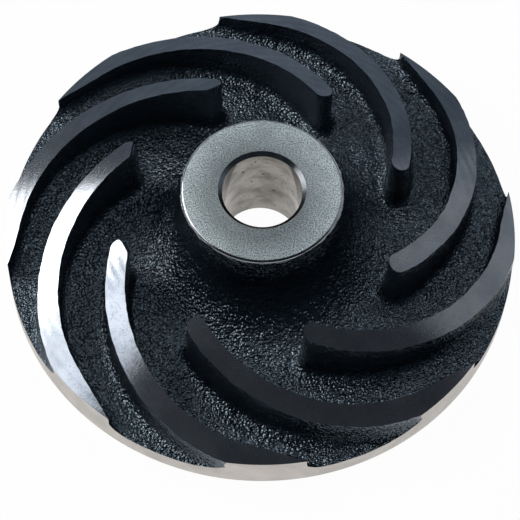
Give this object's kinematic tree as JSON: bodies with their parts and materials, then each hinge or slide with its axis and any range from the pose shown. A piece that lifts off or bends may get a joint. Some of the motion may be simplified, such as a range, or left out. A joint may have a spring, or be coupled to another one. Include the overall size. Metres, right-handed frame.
{
  "type": "pump impeller",
  "caption": "Semi-open centrifugal pump impeller: a round disc carrying swept-back curved vanes and a bored hub, cast in one piece with turned vane tops, rim and hub face.",
  "frame": {"origin": "on the bore axis, in the plane of the disc's turned back face", "axes": "+Z along the bore axis, from the back of the disc towards the hub's face and the vane tops; +X is the direction from which the angles of the vanes are counted"},
  "size_m": [0.104, 0.104, 0.0246],
  "materials": {
    "casting": "dark as-cast skin, with bare turned vane tops, rim and hub face"
  },
  "bodies": {
    "root": {"impeller": "casting"}
  },
  "joints": []
}
